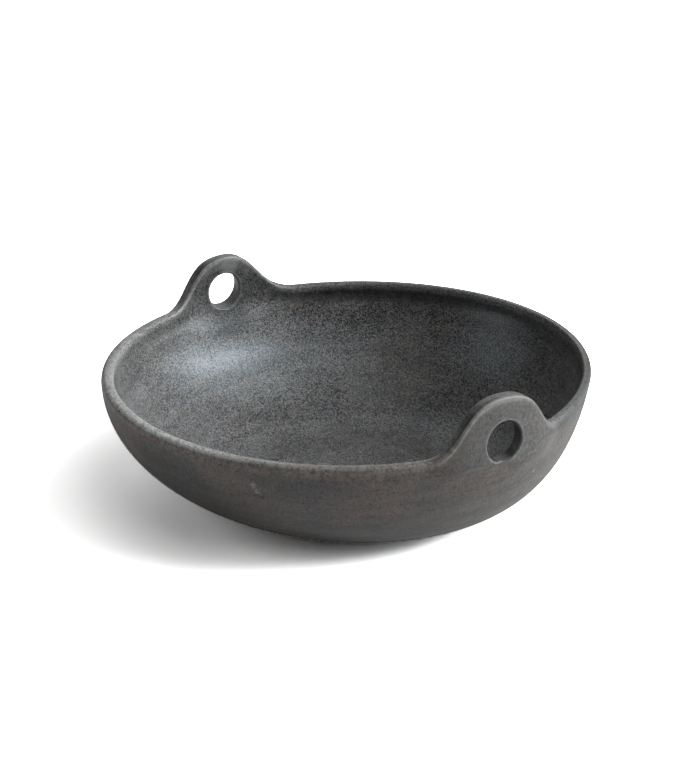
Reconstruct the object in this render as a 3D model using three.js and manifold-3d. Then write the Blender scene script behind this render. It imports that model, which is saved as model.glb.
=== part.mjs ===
// Stoneware serving bowl: a thrown body with two pierced lug handles luted to its rim.
// X runs from lug to lug, Y across the bowl and Z up from the table. Sizes are in millimetres.
import * as THREE from 'three';
import { mergeVertices } from 'three/addons/utils/BufferGeometryUtils.js';
import Module from 'manifold-3d';

// Body
const rimRadius = 150; // mean outer radius of the mouth
const rimHeight = 81.5; // table to the top of the rim
const wall = 6.6; // thickness of the wall, with a full round lip
const rimLean = 6.5; // degrees that the top of the wall leans out
const uprightReach = 47; // how far down the wall stays near that lean
const bellyReach = 45; // how far out the wall stays low before it turns up
const footRadius = 57; // outer edge of the ring that the bowl stands on
const footWidth = 9; // width of that ring
const footRecess = 1.6; // depth of the turned hollow inside the ring
const floorThickness = 7.6; // clay under the middle of the bowl

// How the hand-made body departs from a true round, as shares of the radius
const rimOval = { cos2: -0.034, sin2: -0.0206, cos3: 0.0125, sin3: -0.0036, cos4: 0.0013 }; // at the rim
const bellyOval = { cos1: -0.0176, sin1: -0.0275, cos2: -0.0162, sin2: -0.0084 }; // half way up
const ovalFade = 1.5; // power of the height by which the rim's shape fades downwards
const rimTilt = 1.2; // how much higher than rimHeight the rim's highest side stands
const highSide = 66; // plan angle of that side, in degrees
const rimWarp = 1.2; // how far the rim also waves up and down, twice round
const warpSide = 32; // plan angle of a high place of that wave
const footShift = { x: 4.3, y: 6.3 }; // foot's centre from the mouth's centre

// Lug handles. Each has a plate between two flares, the first and the second anticlockwise from above.
const rightRise = 30.2; // how high the right plate rises over the rim
const rightPeak = -1.7; // its highest place, from the lug's middle
const rightFirstReach = 50.3; // how far its flares reach along the rim from there
const rightSecondReach = 57;
const rightProud = 1.2; // how proud of the rim its outer face stands
const rightHoleAside = 1; // hole's centre from the lug's middle
const rightHoleRise = 3.4; // and over the rim
const leftRise = 26.4;
const leftPeak = -3.2;
const leftFirstReach = 49.1;
const leftSecondReach = 51.7;
const leftProud = 4.8;
const leftHoleAside = -1.2;
const leftHoleRise = 3.7;
const lugs = [
  {
    name: 'lug_handle_right',
    side: 0,
    rise: rightRise,
    peak: rightPeak,
    proud: rightProud,
    hole: { aside: rightHoleAside, rise: rightHoleRise },
    flat: 0.385, // share of the reach that is flat plate
    flares: [
      // shoulder: breadth of the plate's top, as a share of the reach
      // swing: where the flare swings out along the rim, likewise
      { way: -1, reach: rightFirstReach, shoulder: 0.605, swing: 0.515 },
      { way: 1, reach: rightSecondReach, shoulder: 0.652, swing: 0.4 },
    ],
  },
  {
    name: 'lug_handle_left',
    side: Math.PI,
    rise: leftRise,
    peak: leftPeak,
    proud: leftProud,
    hole: { aside: leftHoleAside, rise: leftHoleRise },
    flat: 0.2,
    flares: [
      { way: -1, reach: leftFirstReach, shoulder: 0.494, swing: 0.514 },
      { way: 1, reach: leftSecondReach, shoulder: 0.594, swing: 0.5 },
    ],
  },
];
const lugThickness = 8.3; // plate from face to face
const lugEdgeRound = 1.7; // rounding of the plate's top edges
const lugDrop = 10.5; // how far the plate laps down the wall, below the rim
const lugFoot = 1.2; // clay left standing at the end of each flare
const holeRadius = 12.7; // hole through plate and wall
const seam = 0.3; // slip-filled joint between lug and body

// Facets
const turns = 96; // round the body
const wallSteps = 15; // up each face of the wall
const lipSteps = 6; // over the lip
const lugStations = 44; // along a lug
const cornerSteps = 4; // round each top edge of a lug
const holeSides = 48;
const angleRounds = 6; // repeats that settle the plan angle of a place along a lug

const wasm = await Module();
wasm.setup();

function toSolid(geometry) {
  const bare = geometry.clone();
  bare.deleteAttribute('normal');
  bare.deleteAttribute('uv');
  const merged = mergeVertices(bare, 1e-3);
  return new wasm.Manifold(
    new wasm.Mesh({
      numProp: 3,
      vertProperties: merged.attributes.position.array,
      triVerts: new Uint32Array(merged.index.array),
    }),
  );
}

function toGeometry(solid) {
  const mesh = solid.getMesh();
  const geometry = new THREE.BufferGeometry();
  geometry.setAttribute('position', new THREE.BufferAttribute(mesh.vertProperties, 3));
  geometry.setIndex(new THREE.BufferAttribute(mesh.triVerts, 1));
  const faceted = geometry.toNonIndexed();
  faceted.computeVertexNormals();
  return faceted;
}

// The wall's outer face as a curve in radius and height, from the lip down to the foot.
function wallCurve() {
  const lean = THREE.MathUtils.degToRad(rimLean);
  const top = new THREE.Vector2(rimRadius, rimHeight - (wall / 2) * (1 + Math.sin(lean)));
  const upright = new THREE.Vector2(-Math.sin(lean), -Math.cos(lean)).multiplyScalar(uprightReach);
  return new THREE.CubicBezierCurve(
    top,
    top.clone().add(upright),
    new THREE.Vector2(footRadius + bellyReach, 0),
    new THREE.Vector2(footRadius, 0),
  );
}

// The shell's closed half section: underside, outer face, lip, inner face and floor. With grow over
// zero every face of the wall lies that far outside the real one.
function shellProfile(grow) {
  const curve = wallCurve();
  const outer = [];
  const inner = [];
  for (let i = 0; i <= wallSteps; i++) {
    const t = i / wallSteps;
    const point = curve.getPoint(t);
    const tangent = curve.getTangent(t);
    const outward = new THREE.Vector2(-tangent.y, tangent.x);
    const thickness = THREE.MathUtils.lerp(wall, floorThickness, t * t);
    outer.unshift(point.clone().addScaledVector(outward, grow));
    inner.push(point.clone().addScaledVector(outward, -thickness - grow));
  }
  const lip = [];
  const lipStart = outer[outer.length - 1];
  const lipCentre = lipStart.clone().add(inner[0]).multiplyScalar(0.5);
  for (let i = 1; i < lipSteps; i++) {
    const arm = lipStart.clone().sub(lipCentre);
    lip.push(arm.rotateAround(new THREE.Vector2(), (Math.PI * i) / lipSteps).add(lipCentre));
  }
  const ringInner = footRadius - footWidth;
  const underside = [
    new THREE.Vector2(0, footRecess - grow),
    new THREE.Vector2(ringInner - footRecess, footRecess - grow),
    new THREE.Vector2(ringInner, -grow),
  ];
  return [...underside, ...outer, ...lip, ...inner, new THREE.Vector2(0, floorThickness + grow)];
}

// Share by which the rim is larger or smaller than a true round at a plan angle.
function rimShare(angle) {
  const { cos2, sin2, cos3, sin3, cos4 } = rimOval;
  const twice = cos2 * Math.cos(2 * angle) + sin2 * Math.sin(2 * angle);
  const thrice = cos3 * Math.cos(3 * angle) + sin3 * Math.sin(3 * angle);
  return twice + thrice + cos4 * Math.cos(4 * angle);
}

function bellyShare(angle) {
  const { cos1, sin1, cos2, sin2 } = bellyOval;
  const once = cos1 * Math.cos(angle) + sin1 * Math.sin(angle);
  return once + cos2 * Math.cos(2 * angle) + sin2 * Math.sin(2 * angle);
}

// How much the rim stands over or under its mean height at a plan angle.
function rimLift(angle) {
  const tilt = rimTilt * Math.cos(angle - THREE.MathUtils.degToRad(highSide));
  return tilt + rimWarp * Math.cos(2 * (angle - THREE.MathUtils.degToRad(warpSide)));
}

// Moves a true round's points to where the hand-made body has them.
function handMade(geometry) {
  const position = geometry.attributes.position;
  for (let i = 0; i < position.count; i++) {
    const x = position.getX(i);
    const y = position.getY(i);
    const up = THREE.MathUtils.clamp(position.getZ(i) / rimHeight, 0, 1);
    const angle = Math.atan2(y, x);
    const fade = up ** ovalFade;
    const share = 1 + fade * rimShare(angle) + 4 * up * (1 - up) * bellyShare(angle);
    position.setX(i, x * share + footShift.x * (1 - fade));
    position.setY(i, y * share + footShift.y * (1 - fade));
    position.setZ(i, position.getZ(i) + rimLift(angle) * fade);
  }
  return geometry;
}

function shell(grow) {
  const turned = new THREE.LatheGeometry(shellProfile(grow), turns, Math.PI / turns);
  turned.rotateX(Math.PI / 2);
  return toSolid(handMade(turned));
}

// Plan angle at which the rim's outer face has a given distance along the lug.
function angleAt(side, along) {
  let angle = side;
  for (let i = 0; i < angleRounds; i++) {
    const radius = rimRadius * (1 + rimShare(angle));
    angle = side + Math.asin(along / radius);
  }
  return angle;
}

// A plate's upper edge over the rim, from its peak to the end of one flare.
function edgeCurve(lug, flare) {
  return new THREE.CubicBezierCurve(
    new THREE.Vector2(0, lug.rise),
    new THREE.Vector2(flare.reach * flare.shoulder, lug.rise),
    new THREE.Vector2(flare.reach * flare.swing, lugFoot),
    new THREE.Vector2(flare.reach, lugFoot),
  );
}

// One cross-section of a lug at a distance from its peak: two faces, rounded into each other on top.
function lugSection(lug, flare, away, rise) {
  const out = away / flare.reach;
  const follow = THREE.MathUtils.smoothstep(out, lug.flat, 1);
  const along = lug.peak + flare.way * away;
  const angle = angleAt(lug.side, along);
  const rim = rimRadius * (1 + rimShare(angle));
  const middle = rimRadius * (1 + rimShare(lug.side));
  const across = rim * Math.cos(angle - lug.side);
  const proud = THREE.MathUtils.lerp(lug.proud, lugFoot, follow);
  const face = THREE.MathUtils.lerp(middle, across, follow) + proud;
  const thickness = THREE.MathUtils.lerp(lugThickness, wall, follow);
  const round = THREE.MathUtils.lerp(lugEdgeRound, thickness / 2, follow);
  const level = rimHeight + rimLift(angle);
  const top = level + rise;
  const bottom = level - THREE.MathUtils.lerp(lugDrop, wall / 2, out * out);
  const normal = new THREE.Vector2(1, 0).rotateAround(new THREE.Vector2(), (angle - lug.side) * follow);
  const points = [[0, bottom]];
  for (let i = 0; i <= cornerSteps; i++) {
    const turn = (Math.PI / 2) * (i / cornerSteps);
    points.push([round * (1 - Math.cos(turn)), top - round * (1 - Math.sin(turn))]);
  }
  for (let i = cornerSteps; i >= 0; i--) {
    const turn = (Math.PI / 2) * (i / cornerSteps);
    points.push([thickness - round * (1 - Math.cos(turn)), top - round * (1 - Math.sin(turn))]);
  }
  points.push([thickness, bottom]);
  return points.map(([depth, height]) => {
    const place = new THREE.Vector2(face, along).addScaledVector(normal, -depth);
    return new THREE.Vector3(place.x, place.y, height);
  });
}

// A solid through a row of like closed sections, with flat ends.
function loft(sections) {
  const count = sections[0].length;
  const vertices = sections.flat().flatMap((point) => point.toArray());
  const index = [];
  for (let s = 0; s < sections.length - 1; s++) {
    for (let i = 0; i < count; i++) {
      const a = s * count + i;
      const b = s * count + ((i + 1) % count);
      index.push(a, a + count, b, b, a + count, b + count);
    }
  }
  const last = (sections.length - 1) * count;
  for (let i = 1; i < count - 1; i++) {
    index.push(0, i, i + 1);
    index.push(last, last + i + 1, last + i);
  }
  const geometry = new THREE.BufferGeometry();
  geometry.setAttribute('position', new THREE.Float32BufferAttribute(vertices, 3));
  geometry.setIndex(index);
  return geometry;
}

// The whole plate, before the body's lip and the hole are cut out of it.
function lugPlate(lug) {
  const [first, second] = lug.flares.map((flare) => {
    const edge = edgeCurve(lug, flare).getPoints(lugStations / 2);
    return edge.map((p) => lugSection(lug, flare, p.x, p.y));
  });
  const plate = loft([...first.slice(1).reverse(), ...second]);
  return toSolid(plate.rotateZ(lug.side));
}

function lugHole(lug) {
  const through = 2 * (lug.proud + lugThickness + wall);
  const bore = new THREE.CylinderGeometry(holeRadius, holeRadius, through, holeSides);
  bore.rotateY(Math.PI / holeSides).rotateZ(Math.PI / 2);
  bore.translate(rimRadius * (1 + rimShare(lug.side)), lug.hole.aside, rimHeight + lug.hole.rise);
  return toSolid(bore.rotateZ(lug.side));
}

function lugHandle(lug) {
  return lugPlate(lug).subtract(shell(seam)).subtract(lugHole(lug));
}

function bowlBody() {
  return lugs.reduce((body, lug) => body.subtract(lugHole(lug)), shell(0));
}

function piece(name, solid) {
  const glaze = new THREE.MeshStandardMaterial({ color: 0x4f5154, roughness: 0.6, metalness: 0 });
  const mesh = new THREE.Mesh(toGeometry(solid), glaze);
  mesh.name = name;
  return mesh;
}

const bowl = new THREE.Group();
bowl.add(piece('bowl_body', bowlBody()));
for (const lug of lugs) {
  bowl.add(piece(lug.name, lugHandle(lug)));
}

// The origin is under the middle of the whole bowl, on the table.
const bounds = new THREE.Box3().setFromObject(bowl);
const centre = bounds.getCenter(new THREE.Vector3());
bowl.position.set(-centre.x, -centre.y, -bounds.min.z);

export default bowl;
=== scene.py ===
# Stoneware serving bowl with two pierced lug handles: glazed skin, studio and camera.
# Lengths in the dictionaries are millimetres, in a frame centred under the bowl's mouth.
import math
from types import SimpleNamespace

import bpy
import numpy as np
from mathutils import Matrix, Vector


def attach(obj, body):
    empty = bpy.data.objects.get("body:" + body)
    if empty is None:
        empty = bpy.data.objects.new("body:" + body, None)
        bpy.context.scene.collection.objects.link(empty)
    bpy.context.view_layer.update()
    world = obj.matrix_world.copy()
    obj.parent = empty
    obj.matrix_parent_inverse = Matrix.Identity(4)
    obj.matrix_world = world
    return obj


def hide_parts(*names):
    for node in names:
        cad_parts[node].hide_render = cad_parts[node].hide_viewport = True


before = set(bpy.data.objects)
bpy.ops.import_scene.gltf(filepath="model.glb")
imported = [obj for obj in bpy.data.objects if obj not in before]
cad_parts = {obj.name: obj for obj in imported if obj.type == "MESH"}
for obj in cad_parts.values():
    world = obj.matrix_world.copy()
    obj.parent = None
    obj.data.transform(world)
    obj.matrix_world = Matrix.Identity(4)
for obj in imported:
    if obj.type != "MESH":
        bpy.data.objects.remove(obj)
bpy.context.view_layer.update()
print("frame loaded:", ", ".join(sorted(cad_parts)))

mouthCentre = np.array([-0.075, -0.399, 0.0])  # where the mouth's centre lies in the CAD frame


# Thrown body

bowl = {
    "rimRadius": 150.0,
    "rimHeight": 81.5,
    "rimLean": 6.5,  # degrees that the top of the wall leans out
    "uprightReach": 47.0,  # how far down the wall stays near that lean
    "bellyReach": 45.0,  # how far out the wall stays low
    "footRadius": 57.0,
    "footWidth": 9.0,
    "footRecess": 1.6,
    "recessEdge": (-2.2, 0.4),  # from the inner edge of the foot ring, where the recess ends
    "floorThickness": 7.6,
    "wall": 6.6,
    "guideWall": 6.2,  # thickness of the wall for which the curve of its outside was placed
    "lipRound": 0.42,  # rounding of the lip's corners, in wall thicknesses; 0.5 is a full round
    "wallUneven": 0.9,  # how much thicker the wall is on its thick side
    "thickSide": 233.0,  # plan angle of that side, in degrees
    "rimOval": (-0.034, -0.0206, 0.0125, -0.0036, 0.0013, 0.0013),
    "bellyOval": (-0.0176, -0.0275, -0.0162, -0.0084),
    "rimTilt": (0.5, 1.1, 0.56, 1.1),
    "footShift": (4.3, 6.3),
    "bandDepth": 16.0,  # top stretch of the wall, which carries the lugs
    "hollow": 0.7,  # depth of the shallow hollow under the lip, inside
    "hollowFrom": 66.0,  # height where it starts
    "hollowAt": 73.5,  # and height of its deepest place
}

lipPaleAndShade = {
    # plan angle and thinness of the glaze on the crest: 1 breaks wholly pale and -1 is wholly dark
    "crest": (
        (0, 0.2), (14, 0.4), (22, 0.05), (32, -0.08), (53, -0.03), (100, 0.12), (143, -0.2),
        (190, 0.08), (233, 0.43), (253, 0.9), (272, 1.1), (290, 0.75), (310, 0.26), (323, 0.12),
    ),
    # painted shade: plan angle and darkness of the band of shade under the lip, inside
    "underLipShade": (
        (0, 0.1), (53, 0.15), (100, 0.4), (125, 0.72), (150, 0.76), (175, 0.25), (233, 0.0), (323, 0.1),
    ),
    "outerFade": (-5.1, -2.7),  # distances from the crest over which the paleness comes and goes
    "innerFade": (12.0, 4.0),
    "bandRise": (4.5, 8.0),  # and over which the band of painted shade under the lip does
    "bandFade": (19.0, 9.5),
}

wearAndPaintedLight = {
    "plateInside": (69.0, 80.0),  # heights over which a plate's own tone comes in, on each face
    "plateOutside": (69.0, 73.0),
    "crease": 0.8,  # how pale the painted highlight on the upper edge of the crease is, and over what height
    "creaseReach": 0.55,
    "creaseAlong": (8.0, -4.0),  # where along the right lug it comes in
    "arrisPower": 2.5,  # how narrow the worn line on each arris of a plate's top is
    "outerReach": 1.6,  # how far that wear reaches down each face
    "innerReach": 1.2,
    "top": 0.4,  # wear of a plate's top between its arrises, and of the inner face near it
    "topRise": (20.0, 27.0),  # heights over the rim between which the two come in
    "innerRise": (12.0, 24.0),
    "innerFade": (13.0, 1.0),  # distances under a plate's top over which the inner face's comes in
    "hole": 0.6,  # wear of the holes' edges, and how far it reaches
    "holeReach": 0.5,
    "topShadeReach": 1.05,  # half the width of the painted shade along each plate's top
}

grid = {
    "columns": 430,
    "wideStep": 3.0,  # spacing of the columns away from the lugs
    "fineStep": 1.25,  # and along them
    "fineReach": (58.0, 80.0),  # distances from a lug's middle over which it widens
    "wallRows": 46,
    "bandRows": 38,
    "lipRows": 18,
    "floorRows": 15,
    "recessRows": (0.8, 4, 9, 15, 21, 27, 33, 38, 42),  # radii
    "footRows": (-3.5, -2.2, -1.4, -0.8, -0.2, 0.6, 2, 4, 6, 7.5, 8.4),  # from the foot ring's inner edge
    "bareRows": (12, 20),  # rows of the foot ring that stands unglazed
    "holeMargin": 2.4,  # clay round a hole's edge that its rings fill
    "holeRows": (2, 6),  # rows of the band left below and above them
    "holeRings": 9,
    "ringEase": 1.3,  # crowds them towards the hole
    "edgeRings": 6,
    "boreRings": 7,
}

rightLug = {
    "name": "rightLugSkin",
    "node": "lug_handle_right",
    "side": 0.0,
    "face": 147.45,  # outer face of the plate, from the mouth's centre
    "thickness": 8.3,
    "rise": 30.2,  # top of the plate over the rim
    "peak": -1.7,  # its highest place along the lug
    "reach": (50.3, 57.0),
    "shoulder": (0.605, 0.652),
    "flare": (0.515, 0.40),
    "flat": 0.385,
    "edge": 1.9,
    "crease": 70.6,
    "creaseSoft": (1.0, 7.0),  # half its depth along the first flare and along the second
    "creaseTurn": 22.0,  # stretch along the lug over which the one becomes the other
    "innerRise": (60.0, 90.0),  # heights between which the inside turns into the plate
    "hole": (1.0, 84.9),
    "holeRadius": 12.7,
    "holeEdge": 1.0,
    "holeDrift": ((0.0, 0.0, 0.0), (0.0, 0.0, 0.0)),  # outer and inner edge: along, up and radius
    # how much of the pale edge tone the bore takes
    "borePale": 0.0,
    "boreDark": 0.6,
    "topShade": 1.0,  # how dark the painted shade along its top is
    "topShadeReach": (6.0, -8.0),  # where along the lug it fades in
    "topShadeRun": -1.9,  # and how far over the crest it lies
}

leftLug = {
    "name": "leftLugSkin",
    "node": "lug_handle_left",
    "side": math.pi,
    "face": 148.05,
    "thickness": 8.3,
    "rise": 26.4,
    "peak": -3.2,
    "reach": (49.1, 51.7),
    "shoulder": (0.494, 0.594),
    "flare": (0.514, 0.50),
    "flat": 0.20,
    "edge": 1.9,
    "crease": 70.6,
    "creaseSoft": (3.0, 3.0),
    "creaseTurn": 22.0,
    "innerRise": (60.0, 90.0),
    "hole": (-1.5, 84.9),
    "holeRadius": 12.4,
    "holeEdge": 1.3,
    "holeDrift": ((0.2, 1.3, -0.6), (0.7, 0.3, -0.9)),
    "borePale": 1.0,
    "boreDark": 0.0,
    "topShade": 0.85,
    "topShadeReach": (-60.0, -50.0),
    "topShadeRun": 1.6,
}

lugs = [rightLug, leftLug]


def smoothShare(value, low, high):  # 0 below low, 1 above high, and 3t^2 - 2t^3 between
    t = np.clip((value - low) / (high - low), 0, 1)
    return t * t * (3 - 2 * t)


def bezier(points, t):  # de Casteljau's halving, for whole arrays of t
    t = np.asarray(t, float)[..., None]
    level = [np.asarray(p, float) + 0 * t for p in points]
    while len(level) > 1:
        level = [a + (b - a) * t for a, b in zip(level[:-1], level[1:])]
    return level[0]


lean = math.radians(bowl["rimLean"])
wallTop = np.array([bowl["rimRadius"], bowl["rimHeight"] - bowl["guideWall"] / 2 * (1 + math.sin(lean))])
wallControls = np.array([
    wallTop,
    wallTop - bowl["uprightReach"] * np.array([math.sin(lean), math.cos(lean)]),
    (bowl["footRadius"] + bowl["bellyReach"], 0.0),
    (bowl["footRadius"], 0.0),
])


def wallCurve(t):
    # Outer face as a cubic in radius and height, t 0 at the lip and 1 at the foot, and straight on
    # above the lip. Also its outward normal.
    inside = np.clip(t, 0, 1)
    tangent = bezier(np.diff(wallControls, axis=0), inside)
    tangent = tangent / np.linalg.norm(tangent, axis=-1, keepdims=True)
    above = 3 * np.minimum(t, 0)[..., None] * (wallControls[1] - wallControls[0])
    return bezier(wallControls, inside) + above, np.stack([-tangent[..., 1], tangent[..., 0]], -1)


guideT = np.linspace(-0.15, 1, 4001)
guidePlace = wallCurve(guideT)[0]


def tAtHeight(z):
    return np.interp(-z, -guidePlace[:, 1], guideT)


def harmonics(angle, terms):  # cos a, sin a, cos 2a, sin 2a ... with the given weights
    turns = np.arange(len(terms)) // 2 + 1
    waves = [np.sin(n * angle) if k % 2 else np.cos(n * angle) for k, n in enumerate(turns)]
    return sum(weight * wave for weight, wave in zip(terms, waves))


def wallThickness(angle):
    return bowl["wall"] + bowl["wallUneven"] * np.cos(angle - math.radians(bowl["thickSide"]))


def handMade(r, z, angle):
    # A turned point (r, z) where the hand-made body has it: the rim's oval and tilt fade downwards
    # with the height's power of 1.5, and the belly's is strongest half way up.
    up = np.clip(z / bowl["rimHeight"], 0, 1)
    fade = up ** 1.5
    rim = harmonics(angle, (0, 0) + bowl["rimOval"])
    share = 1 + fade * rim + 4 * up * (1 - up) * harmonics(angle, bowl["bellyOval"])
    x = r * share * np.cos(angle) + bowl["footShift"][0] * (1 - fade)
    y = r * share * np.sin(angle) + bowl["footShift"][1] * (1 - fade)
    return x, y, z + fade * harmonics(angle, bowl["rimTilt"])


def toLug(x, y, side):
    return x * math.cos(side) + y * math.sin(side), y * math.cos(side) - x * math.sin(side)


def fromLug(out, along, side):
    return out * math.cos(side) - along * math.sin(side), out * math.sin(side) + along * math.cos(side)


def alongLug(lug, angle):  # distance of a column from the lug's peak, and how much it follows the rim
    rim = np.full_like(angle, bowl["rimRadius"])
    x, y, _ = handMade(rim, np.full_like(angle, wallTop[1]), angle)
    out, along = toLug(x, y, lug["side"])
    along = np.where(out < 0, 500.0, along) - lug["peak"]
    reach = np.where(along < 0, lug["reach"][0], lug["reach"][1])
    return along, smoothShare(np.abs(along) / reach, lug["flat"], 1.0)


def edgeRise(lug, along):  # height of the plate's top over the rim: a cubic to each side of its peak
    share = np.linspace(0, 1, 801)
    rise = np.zeros_like(along)
    for side, reach in enumerate(lug["reach"]):
        curve = bezier([
            (0, lug["rise"]),
            (reach * lug["shoulder"][side], lug["rise"]),
            (reach * lug["flare"][side], 0),
            (reach, 0),
        ], share)
        away = along if side else -along
        rise = np.where(away >= 0, np.interp(away, curve[:, 0], curve[:, 1], right=0.0), rise)
    return rise


def columnTop(angle):  # per column: corner radius, height of the top, and how much of it is plate
    corner = wallThickness(angle) * bowl["lipRound"]
    top = np.full_like(angle, bowl["rimHeight"])
    plate = np.zeros_like(angle)
    for lug in lugs:
        along, follow = alongLug(lug, angle)
        top = top + edgeRise(lug, along)
        corner = corner + (1 - follow) * (lug["edge"] - corner)
        plate = np.maximum(plate, 1 - follow)
    return corner, top, plate


def innerWall(t, angle):  # inner face: the outer one moved in by the thickness there
    place, normal = wallCurve(t)
    low = np.clip(t, 0, 1) ** 2
    thickness = wallThickness(angle) * (1 - low) + bowl["floorThickness"] * low
    return place[..., 0] - normal[..., 0] * thickness, place[..., 1] - normal[..., 1] * thickness


def innerT(z, angle):  # the inner face's t at a height, settled in three rounds
    t = tAtHeight(z)
    for _ in range(3):
        t = t + tAtHeight(z) - tAtHeight(innerWall(t, angle)[1])
    return t


def lugShare(angle):  # how much of each column belongs to a lug's plate
    return np.maximum(*[1 - alongLug(lug, angle)[1] for lug in lugs])


def towardPlates(x, y, z, angle, inner):
    # A point of the wall moved to the plate's plane as far as its column belongs to a lug: slowly up
    # the inside, and across the crease outside, which is sharp under the first flare only.
    for lug in lugs:
        out, along = toLug(x, y, lug["side"])
        if inner:
            share = smoothShare(z, *lug["innerRise"])
            shift = share * (lug["face"] - lug["thickness"] - out)
        else:
            sharp, dull = lug["creaseSoft"]
            soft = sharp + (dull - sharp) * smoothShare(along, 0.0, lug["creaseTurn"])
            shift = smoothShare(z, lug["crease"] + 1 - 2 * soft, lug["crease"] + 1) * (lug["face"] - out)
        x, y = fromLug(out + (1 - alongLug(lug, angle)[1]) * shift, along, lug["side"])
    return x, y


def facePlace(angle, z, inner):
    # A point of the outer or inner face at a height: the wall up to the lip, straight up above it,
    # with a shallow hollow under the lip inside, away from the lugs.
    lip = bowl["rimHeight"] - wallThickness(angle) / 2 * (1 + math.sin(lean))
    if inner:
        lip = lip + wallThickness(angle) * math.sin(lean)
        r, _ = innerWall(innerT(np.minimum(z, lip), angle), angle)
        hollow = bowl["hollow"] * (1 - lugShare(angle))
        below = smoothShare(z, bowl["hollowFrom"], bowl["hollowAt"])
        r = r + hollow * below * smoothShare(z, lip, bowl["hollowAt"])
    else:
        r = wallCurve(tAtHeight(np.minimum(z, lip)))[0][..., 0]
    x, y, height = handMade(r, z, angle)
    return np.stack([*towardPlates(x, y, z, angle, inner), height], -1)


def plateShare(z, inside):  # how much of a lug's plate shows at a height, on the faces of its columns
    return smoothShare(z, *wearAndPaintedLight["plateInside" if inside else "plateOutside"])


def creaseHighlight(angle, z):  # painted highlight: a pale line on the upper edge of the crease under the right plate, along its first flare
    along, follow = alongLug(rightLug, angle)
    share = smoothShare(along, *wearAndPaintedLight["creaseAlong"]) * smoothShare(follow, 0.55, 0.1)
    return wearAndPaintedLight["crease"] * share * np.exp(-((z - rightLug["crease"] - 0.7) / wearAndPaintedLight["creaseReach"]) ** 2)


def lipPaleAndShadeAt(angle, run):
    # Above 0 where the glaze has drawn back from the lip and breaks pale, below 0 where it lies thick
    # and dark on the crest, and also below 0 in the band of painted shade under the lip; from the
    # distance run over the lip, in millimetres inwards from its crest.
    turns = np.degrees(angle) % 360
    around = [np.interp(turns, *np.transpose(lipPaleAndShade[key]), period=360) for key in ("crest", "underLipShade")]
    crest = smoothShare(run, *lipPaleAndShade["outerFade"]) * smoothShare(run, *lipPaleAndShade["innerFade"])
    band = smoothShare(run, *lipPaleAndShade["bandRise"]) * smoothShare(run, *lipPaleAndShade["bandFade"])
    return around[0] * crest - around[1] * band


def lugTopShade(angle, run):  # painted shade: a dark band along the top of each lug, between its arrises
    topShade = np.zeros_like(run)
    for lug in lugs:
        along, follow = alongLug(lug, angle)
        share = smoothShare(follow, 1.0, 0.7) * smoothShare(along, *lug["topShadeReach"]) * lug["topShade"]
        topShade += share * np.exp(-((run - lug["topShadeRun"]) / wearAndPaintedLight["topShadeReach"]) ** 2)
    return topShade


def columnAngles():  # plan angles from -90 degrees on, closer together along the lugs
    guide = np.linspace(-math.pi / 2, 1.5 * math.pi, 6001)
    beside = np.abs((guide + math.pi / 2) % math.pi - math.pi / 2) * bowl["rimRadius"]
    step = grid["fineStep"] + (grid["wideStep"] - grid["fineStep"]) * smoothShare(beside, *grid["fineReach"])
    count = np.concatenate([[0], np.cumsum((1 / step[1:] + 1 / step[:-1]) / 2)])
    return np.interp(np.arange(grid["columns"]) / grid["columns"] * count[-1], count, guide)


def wallShares(low, rows):  # t values that step evenly along the wall from t low to the foot
    run = np.concatenate([[0], np.cumsum(np.linalg.norm(np.diff(guidePlace, axis=0), axis=1))])
    start = np.interp(low, guideT, run)
    return np.interp(np.linspace(start, run[-1], rows), run, guideT)


def lipSections(outer, inner, corner):
    # Rows over the lip from its outer to its inner edge, with a round corner on each side of a flat:
    # the share of the way, the places, and how near each is to the middle of an arris.
    across = np.linalg.norm((inner - outer)[:, :2], axis=1)
    radius = np.minimum(corner, across / 2)
    quarter = math.pi / 2 * radius
    flat = across - 2 * radius
    for k in np.linspace(0, 1, grid["lipRows"] + 2)[1:-1]:
        run = k * (math.pi * radius + flat)
        rising = np.clip(run / radius, 0, math.pi / 2)
        falling = np.clip((run - quarter - flat) / radius, 0, math.pi / 2)
        over = radius * (1 - np.cos(rising)) + np.clip(run - quarter, 0, flat)
        over += radius * np.sin(falling)
        lift = (radius * np.sin(rising) - radius * (1 - np.cos(falling))) * corner / radius
        place = outer + (inner - outer) * (over / across)[:, None]
        place[:, 2] += lift
        yield k, place, np.maximum(np.sin(2 * rising), np.sin(2 * falling)) ** wearAndPaintedLight["arrisPower"]


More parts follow.
